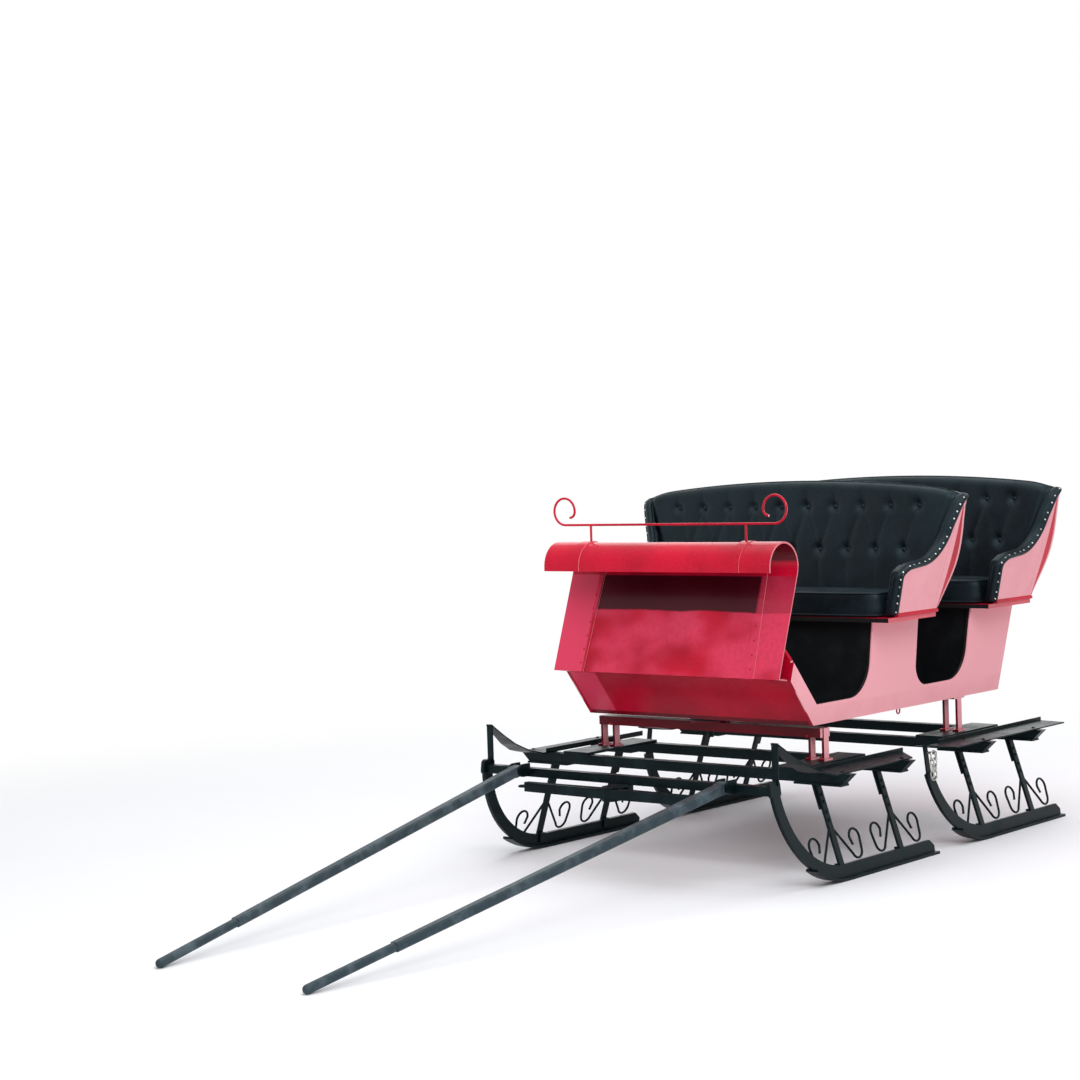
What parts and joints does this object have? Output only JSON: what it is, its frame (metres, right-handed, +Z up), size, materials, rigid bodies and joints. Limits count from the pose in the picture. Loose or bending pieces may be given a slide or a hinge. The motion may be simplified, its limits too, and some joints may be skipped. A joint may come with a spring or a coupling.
{
  "type": "horse-drawn sleigh",
  "caption": "Open sleigh with two bench seats and a rolled dash, on a fixed rear bob and a steered front bob, with shafts.",
  "frame": {"origin": "on the floor under the middle of the outline, with the shafts lowered", "axes": "+X forward along the shafts, +Y to the driver's left, +Z up"},
  "size_m": [3.9646, 1.5236, 1.402],
  "materials": {
    "red_paint": "gloss",
    "black_steel": "satin",
    "grey_paint": "satin",
    "black_vinyl": "semi-gloss",
    "bright_steel": "worn"
  },
  "bodies": {
    "body": {"body_floor": "red_paint", "body_side_left": "red_paint", "body_side_right": "red_paint", "dash": "red_paint", "dash_rail": "black_steel", "front_seat_arm_left": "black_vinyl", "front_seat_arm_right": "black_vinyl", "front_seat_back_pad": "black_vinyl", "front_seat_cushion": "black_vinyl", "front_seat_deck": "red_paint", "front_seat_riser": "red_paint", "front_seat_shell": "red_paint", "king_bolt": "black_steel", "rear_beams": "black_steel", "rear_chain": "bright_steel", "rear_knees_left": "black_steel", "rear_knees_right": "black_steel", "rear_panel": "red_paint", "rear_posts_left": "red_paint", "rear_posts_right": "red_paint", "rear_runner_left": "black_steel", "rear_runner_right": "black_steel", "rear_seat_arm_left": "black_vinyl", "rear_seat_arm_right": "black_vinyl", "rear_seat_back_pad": "black_vinyl", "rear_seat_cushion": "black_vinyl", "rear_seat_deck": "red_paint", "rear_seat_riser": "red_paint", "rear_seat_shell": "red_paint", "rear_side_plate_left": "black_steel", "rear_side_plate_right": "black_steel", "rear_step_board_left": "black_steel", "rear_step_board_right": "black_steel", "toe_panel": "red_paint"},
    "front_bob": {"front_beams": "black_steel", "front_bolster": "red_paint", "front_knees_left": "black_steel", "front_knees_right": "black_steel", "front_runner_left": "black_steel", "front_runner_right": "black_steel", "front_side_plate_left": "black_steel", "front_side_plate_right": "black_steel", "front_step_board_left": "black_steel", "front_step_board_right": "black_steel", "draw_bar": "black_steel"},
    "shaft_left": {"shaft_left": "grey_paint"},
    "shaft_right": {"shaft_right": "grey_paint"},
    "singletree": {"singletree": "black_steel"}
  },
  "joints": [
    {"name": "steer", "type": "hinge", "parent": "body", "child": "front_bob", "pos_m": [-0.48931, 0, 0.526], "axis": [0, 0, 1], "range_deg": [-12, 12]},
    {"name": "shaft_left_lift", "type": "hinge", "parent": "front_bob", "child": "shaft_left", "pos_m": [0.09069, 0.47, 0.366], "axis": [0, -1, 0], "range_deg": [0, 100]},
    {"name": "shaft_right_lift", "type": "hinge", "parent": "front_bob", "child": "shaft_right", "pos_m": [0.09069, -0.47, 0.366], "axis": [0, -1, 0], "range_deg": [0, 100]},
    {"name": "singletree_swing", "type": "hinge", "parent": "front_bob", "child": "singletree", "pos_m": [0.13269, 0, 0.316], "axis": [0, 0, 1], "range_deg": [-25, 25]}
  ]
}
